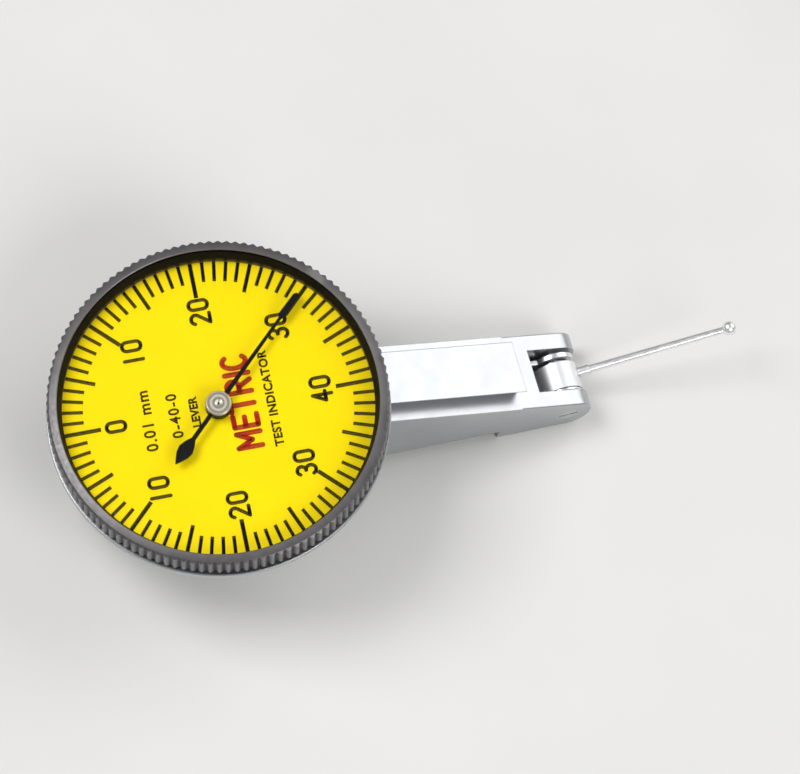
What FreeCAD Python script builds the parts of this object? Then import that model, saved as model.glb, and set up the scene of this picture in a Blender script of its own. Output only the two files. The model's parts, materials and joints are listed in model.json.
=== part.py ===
import FreeCAD, Part
import os
from math import asin, atan2, cos, degrees, hypot, pi, radians, sin, tan

# Lever dial test indicator: a dial on a wedge-shaped case, with a swivelling contact at the tip.
#
# Row frame: origin on the flat underside, below the centre of the dial; +X runs towards the
# contact, +Y across the case, +Z up. Dial frame: origin at the centre of the dial's face,
# +Z along the dial's axis, which leans back from the row's +Z. lean() carries a shape from
# the dial frame to the row frame. Lengths are millimetres and angles are degrees.

V = FreeCAD.Vector

# How the dial sits over the case
DIAL_LEAN = 10.0
DIAL_HEIGHT = 16.3
ARM_DROP = 27.0
ARM_LEVEL = 5.4

# Case and its three dovetails
CASE_WIDTH = 9.3
CASE_REAR = -17.0
TAIL_WIDTH = 6.35
TAIL_HEIGHT = 1.77
TAIL_FLARE = 30.0
ARM_TAIL = (21.0, 40.2)
BASE_TAIL_END = 32.5
REAR_TAIL = (2.7, 8.3)
EDGE_ROUND = 0.22
WALL = 1.2
COVER_SCREWS = ((-10.9, -7.4), (15.2, -8.6), (31.0, -14.5))
CUP_RADIUS = 18.4
CUP_FLOOR = -4.2
CUP_BOTTOM = -5.6
CUP_BORE = 15.6
FLANGE_RADIUS = 19.5
FLANGE_TOP = -1.2
COLLAR_RADIUS = 16.6
COLLAR_TOP = -0.6

# Clevis, lever and contact, in the dial frame
PIVOT = (40.7, -20.45)
CLEVIS_REACH = 2.75
CLEVIS_ROUND = 2.5
SLOT_WALL = 37.6
SLOT_HALF = 2.65
EAR_SCREW_RADIUS = 1.1
PIVOT_TIP_RADIUS = 0.45
PIN_RADIUS = 0.8
CHEEK_RADIUS = 2.45
CHEEKS = ((-2.45, -2.2), (1.7, 2.25))
BARREL_RADIUS = 2.5
BARREL_Y = (-2.1, 1.15)
WASHER_RADIUS = 1.7
CONTACT_ANGLE = 4.76
CONTACT_LENGTH = 20.95
BALL_RADIUS = 0.85
SOCKET_DEPTH = 1.0
SOCKET_RADIUS = 0.52
COLLAR_END = 3.9
STEM_COLLAR_RADIUS = 0.66
STEM_ROOT_RADIUS = 0.35
SHANK_RADII = (0.5, 0.42)

# Bezel and dial, in the dial frame
BEZEL_RADIUS = 19.35
BEZEL_ROOT = 19.05
BEZEL_BOTTOM = -1.0
BEZEL_TOP = 2.6
BEZEL_FALL = 0.22
BEZEL_TEETH = 120
BEZEL_BORE = 18.45
LIP_RADIUS = 18.15
LIP_BOTTOM = 2.4
DIAL_RADIUS = 18.4
DIAL_SHOWN = 17.65
DIAL_THICK = 0.4
CRYSTAL_BOTTOM = 1.9
HAND_ANGLE = 40.7
HAND_TIP = 16.0
HAND_LEVEL = 1.25
HAND_THICK = 0.15
BOSS_BOTTOM = 0.35
HUB_RADIUS = 1.5

# Gear train, in the dial frame: the hand's pinion, the crown gear and its pinion, the sector
MODULE = 0.15
PINION_TEETH = 10
CROWN_TEETH = 48
SECTOR_TEETH = 130
SECTOR_CUT = 10
CROWN_AXIS = (0.0, -9.5)
SECTOR_DROP = 1.44
TRAVEL_PER_TURN = 0.8
GEAR_RATIO = (CROWN_TEETH / PINION_TEETH) * (SECTOR_TEETH / PINION_TEETH)
PLATE_INNER = 2.8
PLATE_OUTER = 3.4
CAVITY_HALF = 3.45
ARBOR_RADIUS = 0.45
JEWEL_RADIUS = 0.8
JEWEL_BORE = 0.23
TIP_RADIUS = 0.2
RUNNING = 0.04
CROWN_DISC = (-1.75, -1.2)
CROWN_TOOTH_TOP = -0.62
SECTOR_Y = (1.5, 2.3)
DRIVE_PIN_RADIUS = 0.4
PILLARS = ((-5.2, -7.2), (-5.2, -11.6), (12.9, -7.3))

# Under the dial: the hand's bearing, its bracket and the hairspring
BUSH_RADIUS = 1.1
BRACKET_SCREW_X = -3.4
SPRING_LEVEL = -2.3
SPRING_TURNS = 6
SPRING_RADII = (0.98, 5.0)
COLLET_RADIUS = 0.9

LEAN = FreeCAD.Placement(V(0, 0, 0), FreeCAD.Rotation(V(0, 1, 0), -DIAL_LEAN)).multiply(
    FreeCAD.Placement(V(0, 0, DIAL_HEIGHT), FreeCAD.Rotation()))
ARM_ORIGIN = LEAN.multVec(V(0, 0, ARM_LEVEL))
ARM_SLOPE = ARM_DROP - DIAL_LEAN
ARM = FreeCAD.Placement(ARM_ORIGIN, FreeCAD.Rotation(V(0, 1, 0), ARM_SLOPE))

crown_radius = MODULE * CROWN_TEETH / 2
pinion_radius = MODULE * PINION_TEETH / 2
sector_radius = MODULE * SECTOR_TEETH / 2
sector_reach = pinion_radius + sector_radius
SECTOR_AXIS = (CROWN_AXIS[0] + (sector_reach ** 2 - SECTOR_DROP ** 2) ** 0.5, CROWN_AXIS[1] - SECTOR_DROP)

# The lever and the sector's tail meet at a pin on the line between their axes, placed so that
# one turn of the hand takes TRAVEL_PER_TURN of movement at the contact ball.
lever_swing = degrees(asin(TRAVEL_PER_TURN / CONTACT_LENGTH))
lever_ratio = 360 / lever_swing / GEAR_RATIO
axis_gap = hypot(PIVOT[0] - SECTOR_AXIS[0], PIVOT[1] - SECTOR_AXIS[1])
tail_reach = axis_gap / (1 + lever_ratio)
tail_angle = degrees(atan2(PIVOT[1] - SECTOR_AXIS[1], PIVOT[0] - SECTOR_AXIS[0]))


def moved(shape, placement):
    """A copy of the shape carried by a placement."""
    copy = shape.copy()
    copy.Placement = placement.multiply(copy.Placement)
    return copy


def lean(shape):
    """A dial-frame shape, in the row frame."""
    return moved(shape, LEAN)


def polar(centre, radius, angle):
    """The point at a radius and an angle from a centre, in the XZ plane."""
    return (centre[0] + radius * cos(radians(angle)), centre[1] + radius * sin(radians(angle)))


def plate_y(points, y0, y1):
    """A plate between y0 and y1 whose outline is given in the XZ plane."""
    corners = [V(x, y0, z) for x, z in points]
    face = Part.Face(Part.makePolygon(corners + corners[:1]))
    return face.extrude(V(0, y1 - y0, 0))


def rod_y(centre, radius, y0, y1):
    """A round rod along Y, centred on a point of the XZ plane."""
    return Part.makeCylinder(radius, y1 - y0, V(centre[0], y0, centre[1]), V(0, 1, 0))


def rod_z(radius, z0, z1, x=0.0, y=0.0):
    """A round rod along Z."""
    return Part.makeCylinder(radius, z1 - z0, V(x, y, z0))


def tube_z(outer, inner, z0, z1):
    """A round tube along Z, on the axis."""
    return rod_z(outer, z0, z1).cut(rod_z(inner, z0 - 1, z1 + 1))


def turned(profile):
    """The solid swept about Z by a closed outline of (radius, z) points."""
    corners = [V(r, 0, z) for r, z in profile]
    face = Part.Face(Part.makePolygon(corners + corners[:1]))
    return face.revolve(V(0, 0, 0), V(0, 0, 1), 360)


def bar_xz(start, end, half_start, half_end, y0, y1):
    """A tapering bar between two points of the XZ plane."""
    angle = atan2(end[1] - start[1], end[0] - start[0])
    across = (-sin(angle), cos(angle))
    outline = [(start[0] + across[0] * half_start, start[1] + across[1] * half_start),
               (end[0] + across[0] * half_end, end[1] + across[1] * half_end),
               (end[0] - across[0] * half_end, end[1] - across[1] * half_end),
               (start[0] - across[0] * half_start, start[1] - across[1] * half_start)]
    return plate_y(outline, y0, y1)


def tooth_outline(pitch_radius, phase, count, pitch_angle):
    """The points of a run of gear teeth as (radius, angle), each tooth centred on its angle."""
    root = pitch_radius - 1.3 * MODULE
    tip = pitch_radius + 0.95 * MODULE
    points = []
    for k in range(count):
        middle = phase + (k - (count - 1) / 2) * pitch_angle
        points += [(root, middle - 0.30 * pitch_angle), (tip, middle - 0.10 * pitch_angle),
                   (tip, middle + 0.10 * pitch_angle), (root, middle + 0.30 * pitch_angle)]
    return points


def pinion(centre, phase, y0, y1):
    """A pinion along Y with one tooth centred on the angle phase."""
    points = tooth_outline(pinion_radius, phase, PINION_TEETH, 360 / PINION_TEETH)
    shift = (PINION_TEETH - 1) / 2 * 360 / PINION_TEETH
    return plate_y([polar(centre, r, a + shift) for r, a in points], y0, y1)


def fastener(centre, outer, head_half, shank_half, y_head, y_neck, y_end):
    """A slotted screw along Y: a head from y_head to y_neck and a shank to y_end."""
    low, high = sorted((y_head, y_neck))
    head = rod_y(centre, outer, low, high)
    low, high = sorted((y_neck, y_end))
    shank = rod_y(centre, shank_half, low, high)
    deep = y_head + (y_neck - y_head) * 0.45
    low, high = sorted((deep, y_head + (y_head - y_neck)))
    slot = Part.makeBox(outer * 4, high - low, head_half * 2,
                        V(centre[0] - outer * 2, low, centre[1] - head_half))
    return head.fuse(shank).cut(slot).removeSplitter()


def groove(length, side):
    """The cut beside a dovetail that runs along X with its free face at z = 0, facing up."""
    flare = TAIL_HEIGHT * tan(radians(TAIL_FLARE))
    tip = TAIL_WIDTH / 2
    far = CASE_WIDTH
    section = [V(0, side * tip, 0), V(0, side * (tip - flare), -TAIL_HEIGHT),
               V(0, side * far, -TAIL_HEIGHT), V(0, side * far, 5), V(0, side * tip, 5)]
    face = Part.Face(Part.makePolygon(section + section[:1]))
    return face.extrude(V(length, 0, 0))


def y_edges(shape, x, z):
    """The edges along Y that pass within 0.2 mm of a point of the XZ plane."""
    found = []
    for edge in shape.Edges:
        ends = [v.Point for v in edge.Vertexes]
        if len(ends) == 2 and all(hypot(p.x - x, p.z - z) < 0.2 for p in ends):
            found.append(edge)
    return found


# ---------------------------------------------------------------- case

def row_point(x, z):
    """A dial-frame point of the XZ plane, in the row frame's XZ plane."""
    point = LEAN.multVec(V(x, 0, z))
    return (point.x, point.z)


def arm_top(x):
    """The height of the arm's top face at a place along the row's X."""
    return ARM_ORIGIN.z - tan(radians(ARM_SLOPE)) * (x - ARM_ORIGIN.x)


def cavity_outline(grow):
    """The hollow for the movement, in the dial frame, grown by a margin."""
    slope = tan(radians(DIAL_LEAN))
    fall = tan(radians(ARM_DROP))
    roof = CUP_BOTTOM + grow
    rear = -12.5 - grow
    front = SLOT_WALL - 3.6 + grow
    level = ARM_LEVEL - 3.2 + grow
    return [(rear, -13.6 - grow - slope * rear), (front, -13.6 - grow - slope * front),
            (front, level - fall * front), ((level - roof) / fall, roof), (rear, roof)]


def case_body():
    """The wedge-shaped case, the cup under the dial, three dovetails and the clevis."""
    tip = row_point(*PIVOT)[0] + CLEVIS_REACH
    clevis_top = arm_top(tip) - TAIL_HEIGHT / cos(radians(ARM_SLOPE))
    tail_end = [ARM.multVec(V(ARM_TAIL[1], 0, drop)) for drop in (-TAIL_HEIGHT, 0)]
    under_cup = -2.0
    shoulder = (ARM_LEVEL - under_cup) / tan(radians(ARM_DROP))
    outline = [(CASE_REAR, 0), (tip, 0), (tip, clevis_top)] + [(p.x, p.z) for p in tail_end]
    outline += [row_point(shoulder, under_cup), row_point(-14.5, under_cup),
                (CASE_REAR, row_point(-15.0, CUP_BOTTOM)[1])]
    half = CASE_WIDTH / 2
    wedge = plate_y(outline, -half, half)
    wedge = wedge.makeFillet(CLEVIS_ROUND, y_edges(wedge, tip, 0))
    wedge = wedge.makeFillet(CLEVIS_ROUND, y_edges(wedge, tip, clevis_top))
    rims = [edge for edge in wedge.Edges if all(abs(abs(v.Y) - half) < 0.01 for v in edge.Vertexes)
            and edge.BoundBox.YLength < 0.01]
    wedge = wedge.makeFillet(EDGE_ROUND, rims)
    cup = turned([(0, CUP_BOTTOM), (CUP_RADIUS - 1, CUP_BOTTOM), (CUP_RADIUS, CUP_BOTTOM + 1),
                  (CUP_RADIUS, FLANGE_TOP - 1.2), (FLANGE_RADIUS, FLANGE_TOP - 0.7),
                  (FLANGE_RADIUS, FLANGE_TOP - 0.1), (FLANGE_RADIUS - 0.1, FLANGE_TOP),
                  (COLLAR_RADIUS, FLANGE_TOP), (COLLAR_RADIUS, COLLAR_TOP), (0, COLLAR_TOP)])
    body = wedge.fuse(lean(cup))
    body = body.cut(lean(rod_z(CUP_BORE, CUP_FLOOR, 1)))
    body = body.cut(lean(plate_y(cavity_outline(0), -CAVITY_HALF, half + 1)))
    body = body.cut(lean(plate_y(cavity_outline(0.7), half - WALL, half + 1)))
    for side in (-1, 1):
        arm_cut = groove(ARM_TAIL[1] - ARM_TAIL[0], side)
        arm_cut.translate(V(ARM_TAIL[0], 0, 0))
        body = body.cut(moved(arm_cut, ARM))
        base_cut = groove(BASE_TAIL_END - CASE_REAR + 1, side)
        base_cut.rotate(V(0, 0, 0), V(1, 0, 0), 180)
        base_cut.translate(V(CASE_REAR - 1, 0, 0))
        body = body.cut(base_cut)
        rear_cut = groove(REAR_TAIL[1] - REAR_TAIL[0], side)
        rear_cut.rotate(V(0, 0, 0), V(0, 1, 0), -90)
        rear_cut.translate(V(CASE_REAR, 0, REAR_TAIL[0]))
        body = body.cut(rear_cut)
    body = body.cut(lean(Part.makeBox(20, 2 * SLOT_HALF, 20, V(SLOT_WALL, -SLOT_HALF, -30))))
    window = Part.makeBox(6, 2 * SLOT_HALF, 4.25, V(SLOT_WALL - 5, -SLOT_HALF, PIVOT[1] - 0.5))
    body = body.cut(lean(window))
    body = body.cut(lean(rod_y(PIVOT, EAR_SCREW_RADIUS, -half - 1, half + 1)))
    body = body.cut(lean(rod_z(BUSH_RADIUS, CUP_BOTTOM - 1, CUP_FLOOR + 1)))
    body = body.cut(lean(rod_z(0.4, CUP_BOTTOM - 1, CUP_FLOOR + 1, BRACKET_SCREW_X)))
    for spot in COVER_SCREWS:
        boss = rod_y(spot, 1.15, -CAVITY_HALF - 0.5, half - WALL)
        body = body.fuse(lean(boss)).cut(lean(rod_y(spot, 0.5, 0, half + 1)))
    return body.removeSplitter()


def side_cover():
    """The plate that closes the movement's hollow on the +Y side."""
    half = CASE_WIDTH / 2
    cover = plate_y(cavity_outline(0.65), half - WALL, half)
    for spot in COVER_SCREWS:
        cover = cover.cut(rod_y(spot, 0.6, 0, half + 1)).cut(rod_y(spot, 1.25, half - 0.55, half + 1))
    return lean(cover)


def cover_screws():
    """The screws that hold the side cover to the case's bosses."""
    half = CASE_WIDTH / 2
    return [lean(fastener(spot, 1.15, 0.14, 0.5, half - 0.08, half - 0.55, half - 3.4))
            for spot in COVER_SCREWS]


def pivot_screws():
    """The two screws in the clevis ears whose tips carry the lever's pin."""
    half = CASE_WIDTH / 2
    screws = []
    for side, pin_end in ((-1, CHEEKS[0][0]), (1, CHEEKS[1][1])):
        body = fastener(PIVOT, EAR_SCREW_RADIUS, 0.16, 1.0, side * half, side * (half - 0.6),
                        side * (SLOT_HALF + 0.05))
        low, high = sorted((side * (SLOT_HALF + 0.05), pin_end - side * 0.5))
        screws.append(lean(body.fuse(rod_y(PIVOT, PIVOT_TIP_RADIUS, low, high))))
    return screws


def bezel_spring_ring():
    """The split spring ring on the collar that steadies the bezel."""
    ring = tube_z(COLLAR_RADIUS + 0.33, COLLAR_RADIUS, -0.95, -0.7)
    return lean(ring.cut(Part.makeBox(3, 3, 3, V(15, -1.5, -3))))


# ---------------------------------------------------------------- movement

def plate_outline():
    """The outline of the movement's two side plates."""
    slope = tan(radians(DIAL_LEAN))
    rear = -7.0
    front = 13.75
    return [(rear, -13.2 - slope * rear), (front, -13.2 - slope * front),
            (front, -6.1), (rear, -6.1)]


def movement_plate(side):
    """One of the two plates that hold the arbors' jewels; side is -1 or 1."""
    low, high = sorted((side * PLATE_INNER, side * PLATE_OUTER))
    plate = plate_y(plate_outline(), low, high)
    for centre in (CROWN_AXIS, SECTOR_AXIS):
        plate = plate.cut(rod_y(centre, JEWEL_RADIUS, low - 1, high + 1))
    for spot in PILLARS:
        plate = plate.cut(rod_y(spot, 0.35, low - 1, high + 1))
    return lean(plate)


def pillars():
    """The pillars between the movement plates, bored for the plate screws."""
    return [lean(rod_y(spot, 0.6, -PLATE_INNER, PLATE_INNER).cut(rod_y(spot, 0.3, 0.6, PLATE_INNER + 1)))
            for spot in PILLARS]


def plate_screws():
    """The screws through the +Y movement plate into the pillars; their heads sit in the plate."""
    return [lean(rod_y(spot, 0.3, 0.7, PLATE_OUTER)) for spot in PILLARS]


def jewels():
    """The four ring jewels that the crown and sector arbors run in."""
    rings = []
    for centre in (CROWN_AXIS, SECTOR_AXIS):
        for side in (-1, 1):
            low, high = sorted((side * (PLATE_INNER + 0.1), side * (PLATE_OUTER - 0.1)))
            rings.append(lean(rod_y(centre, JEWEL_RADIUS, low, high).cut(
                rod_y(centre, JEWEL_BORE, low - 1, high + 1))))
    return rings


def arbor(centre):
    """A plain arbor along Y with its two fine pivots."""
    shaft = rod_y(centre, ARBOR_RADIUS, -PLATE_INNER + 0.1, PLATE_INNER - 0.1)
    return shaft.fuse(rod_y(centre, TIP_RADIUS, -PLATE_OUTER + 0.15, PLATE_OUTER - 0.15))


def crown_arbor():
    """The crown gear's arbor with the pinion that the sector drives."""
    towards_sector = degrees(atan2(SECTOR_AXIS[1] - CROWN_AXIS[1], SECTOR_AXIS[0] - CROWN_AXIS[0]))
    return lean(arbor(CROWN_AXIS).fuse(pinion(CROWN_AXIS, towards_sector, 1.3, 2.5)))


def crown_gear():
    """The crown gear: a disc with teeth standing towards the dial's axis."""
    outer = crown_radius + 0.15
    inner = crown_radius - 0.35
    disc = rod_y((0, 0), outer, *CROWN_DISC).fuse(rod_y((0, 0), 1.1, CROWN_DISC[0] - 0.5, CROWN_DISC[0]))
    pitch = 360 / CROWN_TEETH
    half_root = 0.29 * pitch * pi / 180 * crown_radius
    half_tip = 0.12 * pitch * pi / 180 * crown_radius
    teeth = []
    for k in range(CROWN_TEETH):
        section = [V(-half_root, CROWN_DISC[1], inner), V(half_root, CROWN_DISC[1], inner),
                   V(half_tip, CROWN_TOOTH_TOP, inner), V(-half_tip, CROWN_TOOTH_TOP, inner)]
        tooth = Part.Face(Part.makePolygon(section + section[:1])).extrude(V(0, 0, outer - 0.02 - inner))
        tooth.rotate(V(0, 0, 0), V(0, 1, 0), (k + 0.5) * pitch)
        teeth.append(tooth)
    gear = disc.multiFuse(teeth)
    for k in range(5):
        spot = polar((0, 0), 2.05, 72 * k + 36)
        gear = gear.cut(rod_y(spot, 0.62, CROWN_DISC[0] - 1, CROWN_DISC[1] + 0.1))
    gear = gear.cut(rod_y((0, 0), ARBOR_RADIUS, -4, 4))
    gear.translate(V(CROWN_AXIS[0], 0, CROWN_AXIS[1]))
    return lean(gear)


def sector_gear():
    """The sector: a run of teeth on a webbed arm, with a tail for the drive pin."""
    towards_crown = degrees(atan2(CROWN_AXIS[1] - SECTOR_AXIS[1], CROWN_AXIS[0] - SECTOR_AXIS[0]))
    pitch = 360 / SECTOR_TEETH
    rim = tooth_outline(sector_radius, towards_crown, SECTOR_CUT, pitch)
    spread = SECTOR_CUT / 2 * pitch
    rim.append((sector_radius - 1.3, towards_crown + spread))
    rim.append((sector_radius - 1.3, towards_crown - spread))
    gear = plate_y([polar(SECTOR_AXIS, r, a) for r, a in rim], *SECTOR_Y)
    for turn in (-0.62, 0.62):
        end = polar(SECTOR_AXIS, sector_radius - 0.8, towards_crown + turn * spread)
        gear = gear.fuse(bar_xz(SECTOR_AXIS, end, 0.5, 0.36, *SECTOR_Y))
    tail = polar(SECTOR_AXIS, tail_reach + 0.4, tail_angle)
    pin = polar(SECTOR_AXIS, tail_reach, tail_angle)
    gear = gear.fuse(bar_xz(SECTOR_AXIS, tail, 0.9, 0.65, *SECTOR_Y))
    gear = gear.fuse(rod_y(SECTOR_AXIS, 1.25, SECTOR_Y[0] - 0.5, SECTOR_Y[1]))
    gear = gear.fuse(rod_y(pin, 0.75, *SECTOR_Y))
    gear = gear.cut(rod_y(SECTOR_AXIS, ARBOR_RADIUS, -4, 4)).cut(rod_y(pin, DRIVE_PIN_RADIUS, -4, 4))
    return lean(gear.removeSplitter())


def sector_pin():
    """The pin on the sector's tail that the lever's fork moves."""
    return lean(rod_y(polar(SECTOR_AXIS, tail_reach, tail_angle), DRIVE_PIN_RADIUS, -0.7, SECTOR_Y[1]))


def centre_arbor():
    """The hand's arbor, with a pinion cut round it at the crown gear's top."""
    points = tooth_outline(pinion_radius, -90, PINION_TEETH, 360 / PINION_TEETH)
    shift = (PINION_TEETH - 1) / 2 * 360 / PINION_TEETH
    corners = [V(*polar((0, 0), r, a + shift), CUP_BOTTOM - 1.0) for r, a in points]
    teeth = Part.Face(Part.makePolygon(corners + corners[:1])).extrude(V(0, 0, 0.9))
    shaft = rod_z(0.5, CUP_BOTTOM - 1.0, HAND_LEVEL + 0.3).fuse(rod_z(0.25, CUP_BOTTOM - 2.2, CUP_BOTTOM))
    return lean(shaft.fuse(teeth))


def centre_bush():
    """The bearing bush for the hand's arbor in the cup's floor."""
    bush = rod_z(BUSH_RADIUS, CUP_BOTTOM + 0.1, CUP_FLOOR + 0.4)
    return lean(bush.cut(rod_z(0.5 + RUNNING, CUP_BOTTOM - 1, CUP_FLOOR + 1)))


def centre_bracket():
    """The bracket under the cup's floor that holds the arbor's lower pivot."""
    reach = plate_y([(-4.2, CUP_BOTTOM), (-4.2, CUP_BOTTOM - 0.8), (-3.0, CUP_BOTTOM - 2.6),
                     (0.9, CUP_BOTTOM - 2.6), (0.9, CUP_BOTTOM - 1.6), (-2.3, CUP_BOTTOM - 1.6),
                     (-2.3, CUP_BOTTOM)], -0.5, 1.1)
    reach = reach.cut(rod_z(0.25 + RUNNING, CUP_BOTTOM - 4, CUP_BOTTOM))
    return lean(reach.cut(rod_z(0.35, CUP_BOTTOM - 1.0, CUP_BOTTOM + 1, BRACKET_SCREW_X)))


def bracket_screw():
    """The screw that holds the bracket, with its head on the cup's floor."""
    x = BRACKET_SCREW_X
    shank = rod_z(0.33, CUP_BOTTOM - 0.6, CUP_FLOOR, x)
    head = rod_z(0.8, CUP_FLOOR, CUP_FLOOR + 0.6, x).cut(
        Part.makeBox(4, 0.26, 2, V(x - 2, -0.13, CUP_FLOOR + 0.35)))
    return lean(head.fuse(shank))


def hairspring():
    """A flat spiral from beside the collet out to the stud."""
    steps = 24 * SPRING_TURNS
    sides = []
    for offset in (-0.04, 0.04):
        path = []
        for k in range(steps + 1):
            radius = SPRING_RADII[0] + (SPRING_RADII[1] - SPRING_RADII[0]) * k / steps + offset
            angle = 2 * pi * SPRING_TURNS * k / steps
            path.append(V(radius * cos(angle), radius * sin(angle), SPRING_LEVEL))
        sides.append(path)
    outline = sides[0] + sides[1][::-1]
    return lean(Part.Face(Part.makePolygon(outline + outline[:1])).extrude(V(0, 0, 0.3)))


def hairspring_stud():
    """The post on the cup's floor that holds the hairspring's outer end."""
    return lean(rod_z(0.55, CUP_FLOOR, SPRING_LEVEL + 0.5, SPRING_RADII[1] + 0.59))


def hairspring_collet():
    """The collar on the hand's arbor inside the hairspring."""
    return lean(tube_z(COLLET_RADIUS, 0.5, SPRING_LEVEL - 0.15, SPRING_LEVEL + 0.55))


# ---------------------------------------------------------------- lever and contact

def lever():
    """The lever: a yoke on the clevis pin, and an arm back to a fork at the sector's pin."""
    pin = polar(SECTOR_AXIS, tail_reach, tail_angle)
    angle = degrees(atan2(pin[1] - PIVOT[1], pin[0] - PIVOT[0]))
    elbow = polar(PIVOT, 6.9, angle)
    cross = polar(PIVOT, 5.5, angle)
    shape = bar_xz(elbow, cross, 0.95, 0.95, CHEEKS[0][0], CHEEKS[1][1])
    for low, high in CHEEKS:
        shape = shape.fuse(bar_xz(cross, PIVOT, 0.95, 0.85, low, high))
        shape = shape.fuse(rod_y(PIVOT, CHEEK_RADIUS, low, high))
    end = polar(pin, 0.9, angle)
    shape = shape.fuse(bar_xz(elbow, end, 0.95, 0.8, -0.55, 0.55))
    mouth = polar(pin, 2.0, angle)
    half = DRIVE_PIN_RADIUS + 0.03
    shape = shape.cut(bar_xz(polar(pin, -0.2, angle), mouth, half, half, -2, 2))
    shape = shape.cut(rod_y(polar(pin, -0.2, angle), half, -2, 2))
    return lean(shape.cut(rod_y(PIVOT, PIN_RADIUS, -5, 5)).removeSplitter())


def lever_pin():
    """The hollow-ended pin through the yoke; it turns on the tips of the pivot screws."""
    ends = (CHEEKS[0][0], CHEEKS[1][1])
    pin = rod_y(PIVOT, PIN_RADIUS, *ends)
    for side, end in zip((-1, 1), ends):
        low, high = sorted((end - side * 0.7, end + side))
        pin = pin.cut(rod_y(PIVOT, PIVOT_TIP_RADIUS + RUNNING, low, high))
    return lean(pin)


def friction_washer():
    """The dished spring washer that holds the contact where it is set."""
    inner = PIN_RADIUS
    low, high = BARREL_Y[1] + 0.15, BARREL_Y[1] + 0.4
    return lean(rod_y(PIVOT, WASHER_RADIUS, low, high).cut(rod_y(PIVOT, inner, low - 1, high + 1)))


def along_contact(start, end, radius_start, radius_end):
    """A round tapering rod along the contact's axis, between distances from the pivot."""
    direction = V(cos(radians(CONTACT_ANGLE)), 0, sin(radians(CONTACT_ANGLE)))
    base = V(PIVOT[0], 0, PIVOT[1]) + direction * start
    if radius_start == radius_end:
        return Part.makeCylinder(radius_start, end - start, base, direction)
    return Part.makeCone(radius_start, radius_end, end - start, base, direction)


def contact_barrel():
    """The barrel that swivels on the lever's pin, with a socket for the contact's thread."""
    barrel = rod_y(PIVOT, BARREL_RADIUS, *BARREL_Y).cut(rod_y(PIVOT, PIN_RADIUS + RUNNING, -5, 5))
    return lean(barrel.cut(along_contact(BARREL_RADIUS - SOCKET_DEPTH, 4, SOCKET_RADIUS, SOCKET_RADIUS)))


def contact_collar():
    """The contact's threaded base and its collar."""
    thread = SOCKET_RADIUS - 0.01
    collar = along_contact(BARREL_RADIUS - SOCKET_DEPTH, BARREL_RADIUS + 0.1, thread, thread)
    outside = along_contact(BARREL_RADIUS + 0.1, COLLAR_END, STEM_COLLAR_RADIUS, STEM_COLLAR_RADIUS)
    bore = along_contact(COLLAR_END - 1, COLLAR_END + 1, STEM_ROOT_RADIUS, STEM_ROOT_RADIUS)
    return lean(collar.fuse(outside).cut(bore))


def contact_shank():
    """The slim tapering stem, let into the collar."""
    end = CONTACT_LENGTH - BALL_RADIUS * 0.7
    stem = along_contact(COLLAR_END, end, *SHANK_RADII)
    stem = stem.fuse(along_contact(COLLAR_END - 1, COLLAR_END, STEM_ROOT_RADIUS, STEM_ROOT_RADIUS))
    return lean(stem.cut(contact_sphere()))


def contact_sphere():
    """The ball's sphere, in the dial frame."""
    centre = polar(PIVOT, CONTACT_LENGTH, CONTACT_ANGLE)
    return Part.makeSphere(BALL_RADIUS, V(centre[0], 0, centre[1]))


# ---------------------------------------------------------------- bezel, dial and hand

def bezel_ring():
    """The bezel: a ring with fine straight teeth round its skirt and a lip over the crystal."""
    ring = turned([(BEZEL_BORE, BEZEL_BOTTOM), (BEZEL_ROOT - 0.15, BEZEL_BOTTOM),
                   (BEZEL_ROOT, BEZEL_BOTTOM + 0.15), (BEZEL_ROOT, BEZEL_TOP - BEZEL_FALL),
                   (LIP_RADIUS + 0.1, BEZEL_TOP), (LIP_RADIUS, BEZEL_TOP - 0.08),
                   (LIP_RADIUS, LIP_BOTTOM), (BEZEL_BORE, LIP_BOTTOM)])
    pitch = 360 / BEZEL_TEETH
    corners = []
    for k in range(BEZEL_TEETH):
        for share, radius in ((-0.46, BEZEL_ROOT), (-0.07, BEZEL_RADIUS), (0.07, BEZEL_RADIUS),
                              (0.46, BEZEL_ROOT)):
            corners.append(V(*polar((0, 0), radius, (k + share) * pitch), BEZEL_BOTTOM + 0.3))
    teeth = Part.Face(Part.makePolygon(corners + corners[:1])).extrude(V(0, 0, 5))
    envelope = turned([(0, BEZEL_BOTTOM + 0.3), (BEZEL_ROOT, BEZEL_BOTTOM + 0.3),
                       (BEZEL_RADIUS, BEZEL_BOTTOM + 0.5), (BEZEL_RADIUS, BEZEL_TOP - BEZEL_FALL - 0.22),
                       (BEZEL_ROOT, BEZEL_TOP - BEZEL_FALL - 0.02), (0, BEZEL_TOP - BEZEL_FALL - 0.02)])
    teeth = teeth.common(envelope).cut(rod_z(BEZEL_ROOT - 0.3, BEZEL_BOTTOM - 1, BEZEL_TOP + 1))
    return lean(ring.fuse(teeth))


def crystal():
    """The clear disc under the bezel's lip, with a small bevel round its top."""
    radius = DIAL_RADIUS - 0.08
    return lean(turned([(0, CRYSTAL_BOTTOM), (radius, CRYSTAL_BOTTOM), (radius, LIP_BOTTOM - 0.12),
                        (radius - 0.1, LIP_BOTTOM - 0.02), (0, LIP_BOTTOM - 0.02)]))


def crystal_gasket():
    """The thin seal round the crystal."""
    return lean(tube_z(BEZEL_BORE - 0.02, DIAL_RADIUS - 0.08, CRYSTAL_BOTTOM, LIP_BOTTOM - 0.04))


def spacer_ring():
    """The ring that keeps the crystal up off the dial; its bore flares towards the crystal."""
    outer = BEZEL_BORE - 0.02
    top = CRYSTAL_BOTTOM - 0.02
    return lean(turned([(DIAL_SHOWN, 0.02), (outer, 0.02), (outer, top), (LIP_RADIUS, top),
                        (DIAL_SHOWN, 1.0)]))


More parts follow.
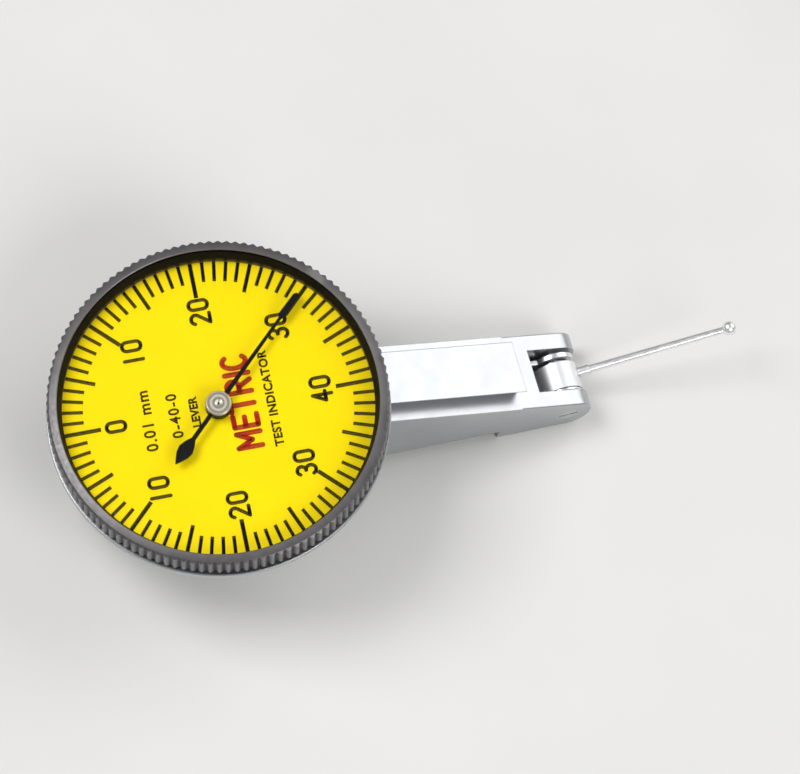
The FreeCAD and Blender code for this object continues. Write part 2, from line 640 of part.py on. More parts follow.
def dial_plate():
    """The round dial with its centre hole."""
    return lean(tube_z(DIAL_RADIUS, 1.3, -DIAL_THICK, 0))


def dial_retaining_ring():
    """The threaded ring that holds the dial up in the bezel."""
    return lean(tube_z(BEZEL_BORE - 0.02, COLLAR_RADIUS + 0.4, BEZEL_BOTTOM, -DIAL_THICK - 0.02))


def hand():
    """The hand: a round boss, a slim pointer that thickens near its end, and a counterweight tail."""
    outline = [(1.2, 0.27), (12.4, 0.17), (12.8, 0.44), (HAND_TIP - 0.3, 0.36), (HAND_TIP, 0.12)]
    tail = [(-1.2, 0.24), (-5.0, 0.26), (-5.7, 0.62), (-6.5, 0.88), (-7.3, 0.74), (-8.1, 0.34), (-8.65, 0.0)]
    left = outline + [(x, -y) for x, y in outline[::-1]]
    right = tail + [(x, -y) for x, y in tail[-2::-1]]
    shape = rod_z(HUB_RADIUS, BOSS_BOTTOM, HAND_LEVEL + HAND_THICK)
    for points in (left, right):
        corners = [V(x, y, HAND_LEVEL) for x, y in points]
        shape = shape.fuse(Part.Face(Part.makePolygon(corners + corners[:1])).extrude(V(0, 0, HAND_THICK)))
    shape = shape.cut(rod_z(0.5, 0, 3)).removeSplitter()
    shape.rotate(V(0, 0, 0), V(0, 0, 1), HAND_ANGLE)
    return lean(shape)


def hand_hub():
    """The bright button over the hand, with a centre dimple."""
    top = CRYSTAL_BOTTOM - 0.1
    base = HAND_LEVEL + HAND_THICK
    bevel = 0.14
    button = turned([(0, base), (HUB_RADIUS, base), (HUB_RADIUS, top - bevel), (HUB_RADIUS - bevel, top),
                     (0.42, top), (0, top - 0.2)])
    return lean(button.cut(rod_z(0.5, 0, HAND_LEVEL + 0.3)))


NODES = {
    "case_body": [case_body()],
    "side_cover": [side_cover()],
    "cover_screws": cover_screws(),
    "pivot_screws": pivot_screws(),
    "bezel_spring_ring": [bezel_spring_ring()],
    "movement_plate_near": [movement_plate(-1)],
    "movement_plate_far": [movement_plate(1)],
    "movement_pillars": pillars(),
    "plate_screws": plate_screws(),
    "arbor_jewels": jewels(),
    "centre_bush": [centre_bush()],
    "centre_bracket": [centre_bracket()],
    "bracket_screw": [bracket_screw()],
    "hairspring_stud": [hairspring_stud()],
    "hairspring": [hairspring()],
    "bezel_ring": [bezel_ring()],
    "crystal": [crystal()],
    "crystal_gasket": [crystal_gasket()],
    "spacer_ring": [spacer_ring()],
    "dial_plate": [dial_plate()],
    "dial_retaining_ring": [dial_retaining_ring()],
    "hand": [hand()],
    "hand_hub": [hand_hub()],
    "centre_arbor": [centre_arbor()],
    "hairspring_collet": [hairspring_collet()],
    "crown_gear": [crown_gear()],
    "crown_arbor": [crown_arbor()],
    "sector_gear": [sector_gear()],
    "sector_arbor": [lean(arbor(SECTOR_AXIS))],
    "sector_pin": [sector_pin()],
    "lever": [lever()],
    "lever_pin": [lever_pin()],
    "friction_washer": [friction_washer()],
    "contact_barrel": [contact_barrel()],
    "contact_collar": [contact_collar()],
    "contact_shank": [contact_shank()],
    "contact_ball": [lean(contact_sphere())],
}

os.makedirs("parts", exist_ok=True)
for name, solids in NODES.items():
    shape = solids[0] if len(solids) == 1 else Part.makeCompound(solids)
    shape.exportStep("parts/" + name + ".step")
    box = shape.BoundBox
    sizes = (box.XMin, box.XMax, box.YMin, box.YMax, box.ZMin, box.ZMax)
    print(f"{name:22s} solids {len(shape.Solids)} valid {shape.isValid()} volume {shape.Volume:9.3f}",
          " ".join(f"{size:7.2f}" for size in sizes))
print("lever ratio", round(lever_ratio, 5), "hand per lever", round(lever_ratio * GEAR_RATIO, 5))
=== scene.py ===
import json
import math
import bmesh
import bpy
from mathutils import Matrix, Vector


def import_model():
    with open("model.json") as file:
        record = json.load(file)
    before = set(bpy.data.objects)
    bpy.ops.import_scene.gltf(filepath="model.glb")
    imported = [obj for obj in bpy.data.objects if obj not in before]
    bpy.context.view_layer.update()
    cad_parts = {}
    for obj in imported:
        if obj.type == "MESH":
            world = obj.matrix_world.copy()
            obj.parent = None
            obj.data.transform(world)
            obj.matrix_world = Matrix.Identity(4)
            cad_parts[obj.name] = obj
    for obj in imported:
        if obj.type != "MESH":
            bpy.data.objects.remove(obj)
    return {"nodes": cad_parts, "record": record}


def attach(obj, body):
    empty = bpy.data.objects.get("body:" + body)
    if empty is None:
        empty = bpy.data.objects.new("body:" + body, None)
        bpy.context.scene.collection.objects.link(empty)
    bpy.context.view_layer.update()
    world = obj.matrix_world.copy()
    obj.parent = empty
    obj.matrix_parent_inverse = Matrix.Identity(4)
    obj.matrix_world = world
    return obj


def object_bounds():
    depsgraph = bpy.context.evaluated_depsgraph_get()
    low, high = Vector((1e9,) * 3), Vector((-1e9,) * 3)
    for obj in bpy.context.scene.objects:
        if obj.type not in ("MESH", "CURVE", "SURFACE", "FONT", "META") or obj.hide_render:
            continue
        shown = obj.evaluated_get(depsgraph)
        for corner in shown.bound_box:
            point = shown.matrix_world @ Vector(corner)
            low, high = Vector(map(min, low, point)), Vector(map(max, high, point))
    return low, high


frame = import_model()
CAD_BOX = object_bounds()
MIDDLE = (CAD_BOX[0] + CAD_BOX[1]) / 2

MM = 0.001
RECORD_JOINTS = {joint["name"]: joint for joint in frame["record"]["behaviour"]["joints"]}

# The dial's own frame: its centre on the dial's face, and its axis.
DIAL_CENTRE = Vector(RECORD_JOINTS["bezel_turn"]["pos_m"])
DIAL_AXIS = Vector(RECORD_JOINTS["bezel_turn"]["axis"]).normalized()
DIAL_LEAN = math.atan2(-DIAL_AXIS.x, DIAL_AXIS.z)
DIAL_FRAME = Matrix.Translation(DIAL_CENTRE) @ Matrix.Rotation(-DIAL_LEAN, 4, "Y")

# The dial's markings, in millimetres from its centre; its zero is opposite the contact.
DIVISIONS = 80
ZERO_ANGLE = math.radians(175.6)
TICK_OUTER = 17.7
TICK_INNER = {10: 13.47, 5: 14.20, 1: 15.28}
TICK_HALF = {10: 0.24, 5: 0.22, 1: 0.20}
NUMERAL_RADIUS = 11.75
NUMERAL_PITCH = 1.72
NUMERAL_STROKE = 0.21
INK_LIFT = 0.004
INK_THICK = 0.012

# Each black line of words: text, size, height above the centre, letter spread and boldness.
DIAL_LINES = (
    ("0.01 mm", 1.85, 8.1, 1.15, 0.04),
    ("0-40-0", 1.7, 5.0, 1.2, 0.04),
    ("LEVER", 1.3, 2.7, 1.05, 0.05),
    ("TEST INDICATOR", 1.35, -6.0, 1.1, 0.05),
)

# The red word: its text, centre, stroke half-width, letter widths and half a letter's height.
RED_WORD = ("METRIC", 0.2, -2.7, 0.30, (2.5, 2.05, 2.0, 2.15, 1.1, 1.9), 1.35)

# Where painted shade and a painted reflection change the colour, in millimetres from the dial's axis or
# above its face.
# Painted shade in the bezel's knurl grooves, inside these radii.
GROOVE_SHADE_RADII = (19.12, 19.26)
BEZEL_SIDE_TOP = (2.20, 2.34)
# Painted reflection of the yellow dial on the spacer, below these heights.
SPACER_REFLECTION_HEIGHTS = (0.30, 0.45)
# Painted shade on the hub's side, below these heights.
HUB_SIDE_TOP = (1.64, 1.67)

# The camera: its direction from the object, its roll, its distance and its lens.
VIEW_AZIMUTH = math.radians(-40.2)
VIEW_ELEVATION = math.radians(65.3)
VIEW_ROLL = math.radians(-26.15)
VIEW_DISTANCE = 0.667
VIEW_LENS = 262

# Each light: name, place, size and power, in metres and watts.
SOFTBOXES = (
    ("key", (0.46, 0.16, 0.38), 0.46, 1.3),
    ("top", (-0.34, 0.16, 0.52), 0.30, 2.3),
    ("near", (0.16, -0.42, 0.44), 0.30, 1.5),
)
SURROUND_COLOUR = (0.9, 0.92, 0.95, 1)
SURROUND_STRENGTH = 0.32


# ---------------------------------------------------------------- materials

class Shader:
    """A Principled material with object coordinates, and short calls for its nodes."""

    def __init__(self, name, base, rough, metal=0.0):
        self.material = bpy.data.materials.new(name)
        self.material.use_nodes = True
        self.tree = self.material.node_tree
        self.bsdf = self.tree.nodes["Principled BSDF"]
        self.bsdf.inputs["Base Color"].default_value = (*base, 1)
        self.bsdf.inputs["Roughness"].default_value = rough
        self.bsdf.inputs["Metallic"].default_value = metal
        self.normal = None
        self.place = self.node("ShaderNodeTexCoord").outputs["Object"]

    def node(self, kind, **settings):
        made = self.tree.nodes.new(kind)
        for key, value in settings.items():
            setattr(made, key, value)
        return made

    def link(self, source, target):
        self.tree.links.new(source, target)

    def mapped(self, scale=(1, 1, 1), turn=(0, 0, 0), centre=(0, 0, 0)):
        """Object coordinates moved to a centre, turned and scaled."""
        moved = self.node("ShaderNodeVectorMath", operation="SUBTRACT")
        self.link(self.place, moved.inputs[0])
        moved.inputs[1].default_value = centre
        mapping = self.node("ShaderNodeMapping")
        mapping.inputs["Rotation"].default_value = turn
        mapping.inputs["Scale"].default_value = scale
        self.link(moved.outputs[0], mapping.inputs["Vector"])
        return mapping.outputs["Vector"]

    def dial_place(self):
        """The distance from the dial's axis, and the height above the dial's face, in metres."""
        split = self.node("ShaderNodeSeparateXYZ")
        self.link(self.mapped(turn=(0, DIAL_LEAN, 0), centre=DIAL_CENTRE), split.inputs[0])
        flat = self.node("ShaderNodeCombineXYZ")
        self.link(split.outputs[0], flat.inputs[0])
        self.link(split.outputs[1], flat.inputs[1])
        length = self.node("ShaderNodeVectorMath", operation="LENGTH")
        self.link(flat.outputs[0], length.inputs[0])
        return length.outputs["Value"], split.outputs[2]

    def noise(self, size, detail=4.0, rough=0.55, vector=None):
        """Noise whose features are about size metres across."""
        made = self.node("ShaderNodeTexNoise")
        made.inputs["Scale"].default_value = 1 / size
        made.inputs["Detail"].default_value = detail
        made.inputs["Roughness"].default_value = rough
        self.link(vector or self.place, made.inputs["Vector"])
        return made.outputs["Fac"]

    def ramp(self, source, stops):
        """Maps a value through colour stops of (position, colour)."""
        made = self.node("ShaderNodeValToRGB")
        elements = made.color_ramp.elements
        while len(elements) < len(stops):
            elements.new(0.5)
        for element, (position, colour) in zip(elements, stops):
            element.position = position
            element.color = (*colour, 1) if len(colour) == 3 else colour
        self.link(source, made.inputs["Fac"])
        return made.outputs["Color"]

    def between(self, source, low, high, source_low=0.3, source_high=0.7):
        """Maps a value to the range low to high."""
        made = self.node("ShaderNodeMapRange")
        made.inputs["From Min"].default_value = source_low
        made.inputs["From Max"].default_value = source_high
        made.inputs["To Min"].default_value = low
        made.inputs["To Max"].default_value = high
        self.link(source, made.inputs["Value"])
        return made.outputs["Result"]

    def below(self, source, limits):
        """A mask that falls from 1 to 0 between two limits in millimetres."""
        return self.between(source, 1, 0, limits[0] * MM, limits[1] * MM)

    def mix(self, factor, a, b):
        """Mixes two colours, each a socket or a colour."""
        made = self.node("ShaderNodeMix", data_type="RGBA")
        self.link(factor, made.inputs["Factor"])
        for socket, value in ((made.inputs[6], a), (made.inputs[7], b)):
            if isinstance(value, tuple):
                socket.default_value = (*value, 1)
            else:
                self.link(value, socket)
        return made.outputs[2]

    def product(self, a, b):
        """Multiplies two masks."""
        made = self.node("ShaderNodeMath", operation="MULTIPLY")
        self.link(a, made.inputs[0])
        self.link(b, made.inputs[1])
        return made.outputs[0]

    def colour(self, source):
        self.link(source, self.bsdf.inputs["Base Color"])

    def roughness(self, source):
        self.link(source, self.bsdf.inputs["Roughness"])

    def bump(self, height, depth, strength=1.0):
        """Adds a bump of a real depth in metres; calls add up."""
        made = self.node("ShaderNodeBump")
        made.inputs["Strength"].default_value = strength
        made.inputs["Distance"].default_value = depth
        self.link(height, made.inputs["Height"])
        if self.normal is not None:
            self.link(self.normal, made.inputs["Normal"])
        self.normal = made.outputs["Normal"]
        self.link(self.normal, self.bsdf.inputs["Normal"])

    def soften(self, radius):
        """Rounds the look of sharp edges by a radius in metres."""
        made = self.node("ShaderNodeBevel")
        made.samples = 4
        made.inputs["Radius"].default_value = radius
        self.normal = made.outputs["Normal"]
        self.link(self.normal, self.bsdf.inputs["Normal"])

    def edges(self, low=0.52, high=0.62):
        """A mask of the convex edges."""
        return self.between(self.node("ShaderNodeNewGeometry").outputs["Pointiness"], 0, 1, low, high)


def scaled(colour, factor):
    return tuple(min(1.0, c * factor) for c in colour)


def satin_chrome():
    """Satin chromed steel: fine blasted grain, faint handling marks, edges rounded in look."""
    s = Shader("satin_chrome", (0.51, 0.52, 0.535), 0.33, 1.0)
    s.soften(0.12 * MM)
    patches = s.noise(6 * MM, 3)
    grain = s.noise(0.09 * MM, 2)
    s.colour(s.ramp(patches, [(0.3, (0.495, 0.505, 0.522)), (0.7, (0.53, 0.54, 0.553))]))
    s.roughness(s.between(s.noise(1.6 * MM, 5), 0.30, 0.36))
    s.bump(grain, 0.0035 * MM, 0.6)
    scratches = s.noise(0.35 * MM, 3, vector=s.mapped(scale=(0.06, 1, 1)))
    s.bump(scratches, 0.003 * MM, 0.35)
    return s.material


def brushed(name, base, low, high, size=0.05 * MM, stretch=(0.05, 1, 1)):
    """Brushed metal with fine streaks along X."""
    s = Shader(name, base, (low + high) / 2, 1.0)
    s.soften(0.06 * MM)
    streaks = s.noise(size * 4, 4, vector=s.mapped(scale=stretch))
    s.colour(s.ramp(streaks, [(0.3, scaled(base, 0.85)), (0.7, scaled(base, 1.08))]))
    s.roughness(s.between(streaks, low, high))
    s.bump(streaks, 0.004 * MM, 0.4)
    return s.material


def turned_steel(name, base, centre, turn, low, high, painted_shade_heights=None, pitch=0.09 * MM):
    """Bright turned steel with fine rings, painted near black as shade below a pair of heights if they are
    given.
    """
    s = Shader(name, base, (low + high) / 2, 1.0)
    s.soften(0.05 * MM)
    wave = s.node("ShaderNodeTexWave", wave_type="RINGS", rings_direction="Z")
    wave.inputs["Scale"].default_value = 1 / pitch / 20
    wave.inputs["Distortion"].default_value = 0.6
    wave.inputs["Detail"].default_value = 2
    s.link(s.mapped(turn=turn, centre=centre), wave.inputs["Vector"])
    rings = wave.outputs["Fac"]
    bright = s.ramp(rings, [(0.0, scaled(base, 0.9)), (1.0, scaled(base, 1.08))])
    if painted_shade_heights is None:
        s.colour(bright)
    else:
        height = s.dial_place()[1]
        # Painted shade: the hub's side, below the given heights, is near black.
        s.colour(s.mix(s.below(height, painted_shade_heights), bright, (0.02, 0.018, 0.015)))
    s.roughness(s.between(rings, low, high, 0, 1))
    s.bump(rings, 0.002 * MM, 0.5)
    return s.material


def black_anodised():
    """Black anodised aluminium: soft sheen, uneven dye, grey tooth tips that are partly rubbed wear and
    partly a painted highlight, and painted shade in the grooves of the knurled side.
    """
    s = Shader("black_anodised", (0.090, 0.085, 0.088), 0.38, 0.5)
    s.soften(0.05 * MM)
    uneven = s.noise(3 * MM, 4)
    dyed = s.ramp(uneven, [(0.3, (0.075, 0.070, 0.073)), (0.7, (0.108, 0.101, 0.105))])
    # Grey on the convex edges: partly rubbed wear, partly a painted highlight on the tooth tips.
    worn_and_highlit = s.mix(s.edges(0.515, 0.60), dyed, (0.24, 0.23, 0.23))
    radius, height = s.dial_place()
    # Painted shade: near black inside the groove radii and below the top of the bezel's side, where the
    # knurl's grooves lie in shade.
    painted_shade_mask = s.product(s.below(radius, GROOVE_SHADE_RADII), s.below(height, BEZEL_SIDE_TOP))
    s.colour(s.mix(painted_shade_mask, worn_and_highlit, (0.006, 0.006, 0.006)))
    s.roughness(s.between(s.noise(0.5 * MM, 5), 0.30, 0.46))
    s.bump(s.noise(0.06 * MM, 2), 0.003 * MM, 0.5)
    return s.material


def dial_paint():
    """Yellow dial enamel with a faint unevenness and a very fine orange peel."""
    s = Shader("dial_yellow", (1.0, 0.78, 0.0), 0.5)
    s.bsdf.inputs["Specular IOR Level"].default_value = 0.1
    s.colour(s.ramp(s.noise(9 * MM, 3), [(0.3, (0.98, 0.73, 0.0)), (0.7, (1.0, 0.78, 0.0))]))
    s.roughness(s.between(s.noise(0.8 * MM, 4), 0.45, 0.6))
    s.bump(s.noise(0.12 * MM, 2), 0.002 * MM, 0.5)
    return s.material


def ink(name, base):
    """Printed ink with slightly uneven cover."""
    s = Shader(name, base, 0.6)
    s.bsdf.inputs["Specular IOR Level"].default_value = 0.08
    s.colour(s.ramp(s.noise(0.25 * MM, 3), [(0.25, scaled(base, 1.5)), (0.6, base)]))
    s.roughness(s.between(s.noise(0.3 * MM, 3), 0.52, 0.7))
    s.bump(s.noise(0.1 * MM, 2), 0.002 * MM, 0.4)
    return s.material


def painted(name, base, low, high, shine=0.5):
    """A thin even paint; shine is its specular level."""
    s = Shader(name, base, (low + high) / 2)
    s.bsdf.inputs["Specular IOR Level"].default_value = shine
    s.colour(s.ramp(s.noise(0.9 * MM, 4), [(0.3, scaled(base, 0.8)), (0.7, scaled(base, 1.3))]))
    s.roughness(s.between(s.noise(0.4 * MM, 4), low, high))
    s.bump(s.noise(0.08 * MM, 2), 0.003 * MM, 0.5)
    return s.material


def spacer_finish():
    """The black spacer ring, with a painted brownish reflection of the yellow dial along the line where it
    meets the dial.
    """
    s = Shader("spacer_black", (0.008, 0.007, 0.007), 0.45)
    s.bsdf.inputs["Specular IOR Level"].default_value = 0.1
    # Painted reflection: brownish below these heights, standing for the yellow dial reflected in the
    # spacer's foot.
    line = s.below(s.dial_place()[1], SPACER_REFLECTION_HEIGHTS)
    black = s.ramp(s.noise(0.9 * MM, 4), [(0.3, (0.003, 0.003, 0.003)), (0.7, (0.006, 0.005, 0.005))])
    s.colour(s.mix(line, black, (0.14, 0.11, 0.07)))
    s.roughness(s.between(s.noise(0.4 * MM, 4), 0.38, 0.52))
    s.bump(s.noise(0.08 * MM, 2), 0.003 * MM, 0.5)
    return s.material


def clear_crystal():
    """The clear crystal: nearly all see-through, with a polished face."""
    s = Shader("clear_crystal", (0.97, 0.98, 0.98), 0.03)
    s.bsdf.inputs["Transmission Weight"].default_value = 1.0
    s.bsdf.inputs["Alpha"].default_value = 0.05
    s.bsdf.inputs["IOR"].default_value = 1.49
    s.roughness(s.between(s.noise(4 * MM, 4), 0.015, 0.06))
    s.bump(s.noise(14 * MM, 1), 0.004 * MM, 0.3)
    return s.material


def jewel_ruby():
    """Polished synthetic ruby."""
    s = Shader("jewel_ruby", (0.45, 0.01, 0.06), 0.06)
    s.bsdf.inputs["Coat Weight"].default_value = 0.6
    s.colour(s.ramp(s.noise(0.4 * MM, 2), [(0.3, (0.35, 0.006, 0.04)), (0.7, (0.6, 0.02, 0.1))]))
    s.roughness(s.between(s.noise(0.2 * MM, 3), 0.04, 0.12))
    return s.material


def pale_floor():
    """A plain pale surface with a faint tone variation."""
    s = Shader("pale_floor", (0.72, 0.71, 0.69), 0.65)
    s.colour(s.ramp(s.noise(60 * MM, 3), [(0.3, (0.70, 0.69, 0.67)), (0.7, (0.75, 0.74, 0.72))]))
    s.bump(s.noise(0.8 * MM, 3), 0.02 * MM, 0.3)
    return s.material


def cover(names, material):
    """Gives CAD nodes a material."""
    for name in names:
        slots = frame["nodes"][name].data.materials
        slots.clear()
        slots.append(material)


CHROME = satin_chrome()
STEEL = brushed("ground_steel", (0.62, 0.62, 0.64), 0.22, 0.36)
SPRING_STEEL = brushed("spring_steel", (0.36, 0.37, 0.42), 0.18, 0.3)
BRASS = brushed("rolled_brass", (0.80, 0.58, 0.24), 0.2, 0.34)
HUB_STEEL = turned_steel("turned_hub", (0.72, 0.66, 0.55), DIAL_CENTRE, (0, DIAL_LEAN, 0), 0.2, 0.34,
                         painted_shade_heights=HUB_SIDE_TOP)
PIVOT = Vector(RECORD_JOINTS["lever_pivot"]["pos_m"])
BARREL_STEEL = turned_steel("turned_barrel", (0.84, 0.84, 0.85), PIVOT, (math.pi / 2, 0, 0), 0.42, 0.56)
CONTACT_STEEL = brushed("polished_contact", (0.93, 0.93, 0.94), 0.28, 0.40)
BEZEL_BLACK = black_anodised()
INK_BLACK = ink("ink_black", (0.004, 0.004, 0.004))
INK_RED = ink("ink_red", (0.36, 0.016, 0.010))

cover(["case_body", "side_cover"], CHROME)
cover(["cover_screws", "bracket_screw", "plate_screws", "centre_arbor", "crown_arbor", "sector_arbor",
       "sector_pin", "pivot_screws"], STEEL)
cover(["bezel_spring_ring", "hairspring", "friction_washer"], SPRING_STEEL)
cover(["movement_plate_near", "movement_plate_far", "movement_pillars", "centre_bush", "centre_bracket",
       "hairspring_stud", "dial_retaining_ring", "hairspring_collet", "crown_gear", "sector_gear"], BRASS)
cover(["arbor_jewels"], jewel_ruby())
cover(["bezel_ring"], BEZEL_BLACK)
cover(["spacer_ring"], spacer_finish())
cover(["crystal_gasket"], painted("gasket_rubber", (0.02, 0.02, 0.02), 0.55, 0.8))
cover(["crystal"], clear_crystal())
cover(["dial_plate"], dial_paint())
cover(["hand"], painted("hand_black", (0.004, 0.004, 0.004), 0.4, 0.55, 0.12))
cover(["hand_hub"], HUB_STEEL)
cover(["contact_barrel"], BARREL_STEEL)
cover(["contact_collar", "contact_shank", "contact_ball", "lever_pin", "lever"], CONTACT_STEEL)


# ---------------------------------------------------------------- the dial's markings

def glyph_strokes(digit):
    """A numeral as open strokes of (x, y) points, in millimetres about its centre."""
    half, tall = 0.54, 1.08

    def arc(x, y, rx, ry, start, end, steps=14):
        span = [math.radians(start + (end - start) * k / steps) for k in range(steps + 1)]
        return [(x + rx * math.cos(a), y + ry * math.sin(a)) for a in span]

    if digit == "0":
        top = arc(0, tall - half, half, half, 180, 0)
        return [top + arc(0, half - tall, half, half, 0, -180) + top[:2]]
    if digit == "1":
        return [[(0, -tall), (0, tall)]]
    if digit == "2":
        hook = arc(0, tall - half, half, half, 165, -38)
        return [hook + [(-half, -tall)], [(-half, -tall), (half + 0.06, -tall)]]
    if digit == "3":
        return [arc(0, 0.56, 0.48, 0.52, 155, -90), arc(0, -0.50, half, 0.58, 90, -155)]
    return [[(0.22, -tall), (0.22, tall)], [(0.22, tall), (-half, -0.36)], [(-half, -0.36), (0.58, -0.36)]]


def ribbon(mesh, points, half_width):
    """Adds a flat ribbon with round ends along a line of 2-D points."""
    lines = [Vector(p) for p in points]
    ahead = (lines[1] - lines[0]).normalized()
    behind = (lines[-1] - lines[-2]).normalized()
    left, right = [], []
    for k, point in enumerate(lines):
        before = (point - lines[k - 1]).normalized() if k else ahead
        after = (lines[k + 1] - point).normalized() if k + 1 < len(lines) else behind
        along = (before + after).normalized()
        side = Vector((-along.y, along.x)) * half_width / max(0.4, along.dot(after))
        left.append(point + side)
        right.append(point - side)
    rows = [[mesh.verts.new((*p, 0)) for p in side] for side in (left, right)]
    for k in range(len(lines) - 1):
        mesh.faces.new((rows[1][k], rows[1][k + 1], rows[0][k + 1], rows[0][k]))
    for point, way, ends in ((lines[0], -ahead, (rows[0][0], rows[1][0])),
                             (lines[-1], behind, (rows[1][-1], rows[0][-1]))):
        start = math.atan2(way.y, way.x) - math.pi / 2
        fan = [start + math.pi * k / 7 for k in range(1, 7)]
        cap = [point + half_width * Vector((math.cos(a), math.sin(a))) for a in fan]
        mesh.faces.new([ends[0]] + [mesh.verts.new((*p, 0)) for p in cap] + [ends[1]])


def letter_strokes(letter):
    """A capital of the dial's word as strokes of (x, y) points, in a box one unit wide and two tall."""
    bowl = [(0.12 + 0.46 * math.cos(a), 0.5 + 0.5 * math.sin(a))
            for a in (math.radians(90 - 15 * k) for k in range(13))]
    hook = [(0.58 * math.cos(a), math.sin(a)) for a in (math.radians(48 + 12 * k) for k in range(23))]
    return {
        "M": [[(-0.62, -1), (-0.62, 1)], [(-0.62, 1), (0, -0.25)], [(0, -0.25), (0.62, 1)],
              [(0.62, 1), (0.62, -1)]],
        "E": [[(-0.45, -1), (-0.45, 1)], [(-0.45, 1), (0.5, 1)], [(-0.45, 0.05), (0.38, 0.05)],
              [(-0.45, -1), (0.5, -1)]],
        "T": [[(-0.6, 1), (0.6, 1)], [(0, 1), (0, -1)]],
        "R": [[(-0.45, -1), (-0.45, 1)], [(-0.45, 1)] + bowl + [(-0.45, 0)], [(0.05, 0), (0.58, -1)]],
        "I": [[(0, -1), (0, 1)]],
        "C": [hook],
    }[letter]


def stroke_word(mesh, text, x, y, half_width, widths, unit):
    """Adds a word of stroke letters centred on a point; widths are the letters' shares of the line."""
    cursor = x - sum(widths) / 2
    for letter, width in zip(text, widths):
        middle = cursor + width / 2
        for stroke in letter_strokes(letter):
            ribbon(mesh, [(middle + px * unit, y + py * unit) for px, py in stroke], half_width)
        cursor += width


def numeral(mesh, text, x, y):
    """Adds a number centred on a point, reading along +x."""
    for k, digit in enumerate(text):
        shift = x + (k - (len(text) - 1) / 2) * NUMERAL_PITCH
        for stroke in glyph_strokes(digit):
            ribbon(mesh, [(px + shift, py + y) for px, py in stroke], NUMERAL_STROKE)


def tick(mesh, angle, inner, half_width):
    """Adds one division line; the angle is clockwise from the zero, which is along +y."""
    out = Vector((math.sin(angle), math.cos(angle)))
    side = Vector((out.y, -out.x)) * half_width
    corners = (out * inner - side, out * TICK_OUTER - side, out * TICK_OUTER + side, out * inner + side)
    mesh.faces.new([mesh.verts.new((*p, 0)) for p in corners][::-1])


def words(text, size, x, y, spread=1.0, bold=0.0):
    """A flat mesh of a line of text centred on a point, in millimetres."""
    curve = bpy.data.curves.new("words", "FONT")
    curve.body = text
    curve.size = size
    curve.align_x = "CENTER"
    curve.align_y = "CENTER"
    curve.space_character = spread
    curve.offset = bold
    curve.resolution_u = 4
    carrier = bpy.data.objects.new("words", curve)
    mesh = bpy.data.meshes.new_from_object(carrier)
    mesh.transform(Matrix.Translation((x, y, 0)))
    bpy.data.objects.remove(carrier)
    return mesh


def print_on_dial(name, mesh, material):
    """Makes a printed layer from a flat mesh drawn with +y towards the zero, in millimetres."""
    bmesh.ops.remove_doubles(mesh, verts=mesh.verts, dist=0.001)
    bmesh.ops.recalc_face_normals(mesh, faces=mesh.faces)
    for face in mesh.faces:
        if face.normal.z < 0:
            face.normal_flip()
    solid = bmesh.ops.extrude_face_region(mesh, geom=list(mesh.faces))
    raised = [v for v in solid["geom"] if isinstance(v, bmesh.types.BMVert)]
    bmesh.ops.translate(mesh, verts=raised, vec=(0, 0, INK_THICK))
    bmesh.ops.recalc_face_normals(mesh, faces=mesh.faces)
    data = bpy.data.meshes.new(name)
    mesh.to_mesh(data)
    mesh.free()
    turn = Matrix.Rotation(ZERO_ANGLE - math.pi / 2, 4, "Z")
    lift = Matrix.Translation((0, 0, INK_LIFT * MM))
    data.transform(DIAL_FRAME @ lift @ turn @ Matrix.Scale(MM, 4))
    data.materials.append(material)
    piece = bpy.data.objects.new(name, data)
    bpy.context.collection.objects.link(piece)
    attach(piece, "bezel")
    return piece


def black_markings():
    """The divisions, the numbers each side of the zero, and the unit of a division."""
    mesh = bmesh.new()
    for k in range(DIVISIONS):
        kind = 10 if k % 10 == 0 else 5 if k % 5 == 0 else 1
        tick(mesh, 2 * math.pi * k / DIVISIONS, TICK_INNER[kind], TICK_HALF[kind])
    for k in range(0, DIVISIONS, 10):
        angle = 2 * math.pi * k / DIVISIONS
        number = min(k, DIVISIONS - k)
        numeral(mesh, str(number), NUMERAL_RADIUS * math.sin(angle), NUMERAL_RADIUS * math.cos(angle))
    for text, size, height, spread, bold in DIAL_LINES:
        mesh.from_mesh(words(text, size, 0, height, spread, bold))
    print_on_dial("dial_markings", mesh, INK_BLACK)


def red_marking():
    """The red word under the hand's hub."""
    mesh = bmesh.new()
    stroke_word(mesh, *RED_WORD)
    print_on_dial("dial_word", mesh, INK_RED)


black_markings()
red_marking()


# ---------------------------------------------------------------- floor, lights and camera

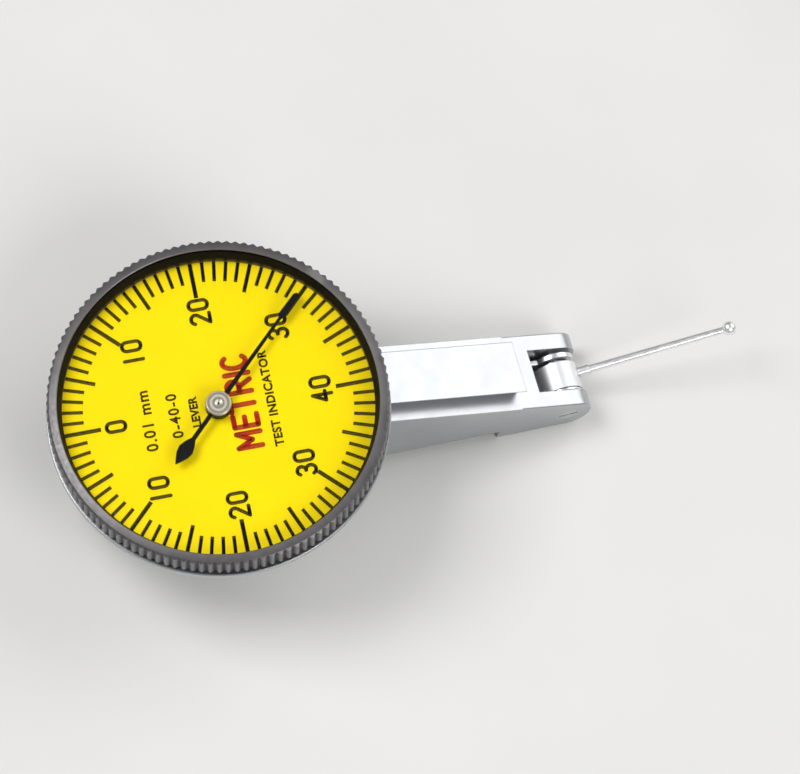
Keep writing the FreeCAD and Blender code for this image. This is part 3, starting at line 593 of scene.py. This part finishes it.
def aimed(location, target):
    """The rotation that points an object's -Z from a location at a target."""
    return (Vector(target) - Vector(location)).to_track_quat("-Z", "Y").to_euler()


def softbox(name, location, size, power, target):
    """A square area light."""
    data = bpy.data.lights.new(name, "AREA")
    data.size = size
    data.energy = power
    lamp = bpy.data.objects.new(name, data)
    lamp.location = location
    lamp.rotation_euler = aimed(location, target)
    bpy.context.collection.objects.link(lamp)


def floor():
    """A large pale floor under the part."""
    data = bpy.data.meshes.new("floor")
    reach = 1.5
    corners = [(-reach, -reach, 0), (reach, -reach, 0), (reach, reach, 0), (-reach, reach, 0)]
    data.from_pydata(corners, [], [(0, 1, 2, 3)])
    data.materials.append(pale_floor())
    plane = bpy.data.objects.new("floor", data)
    plane.location.z = CAD_BOX[0].z - 0.02 * MM
    bpy.context.collection.objects.link(plane)


def camera():
    """The camera, aimed at the middle of the part."""
    back = Vector((math.sin(VIEW_AZIMUTH) * math.cos(VIEW_ELEVATION),
                   -math.cos(VIEW_AZIMUTH) * math.cos(VIEW_ELEVATION), math.sin(VIEW_ELEVATION)))
    level = (Vector((0, 0, 1)) - back * back.z).normalized()
    right = level.cross(back)
    up = level * math.cos(VIEW_ROLL) + right * math.sin(VIEW_ROLL)
    data = bpy.data.cameras.new("camera")
    data.lens = VIEW_LENS
    data.clip_start = 0.05
    view = bpy.data.objects.new("camera", data)
    view.matrix_world = Matrix.Translation(MIDDLE + back * VIEW_DISTANCE) @ Matrix(
        (up.cross(back), up, back)).transposed().to_4x4()
    bpy.context.collection.objects.link(view)
    bpy.context.scene.camera = view


def world():
    """An even pale surround."""
    surround = bpy.data.worlds.new("surround")
    surround.use_nodes = True
    surround.node_tree.nodes["Background"].inputs["Color"].default_value = SURROUND_COLOUR
    surround.node_tree.nodes["Background"].inputs["Strength"].default_value = SURROUND_STRENGTH
    bpy.context.scene.world = surround
    bpy.context.scene.view_settings.view_transform = "Standard"


floor()
for name, location, size, power in SOFTBOXES:
    softbox(name, location, size, power, MIDDLE)
camera()
world()
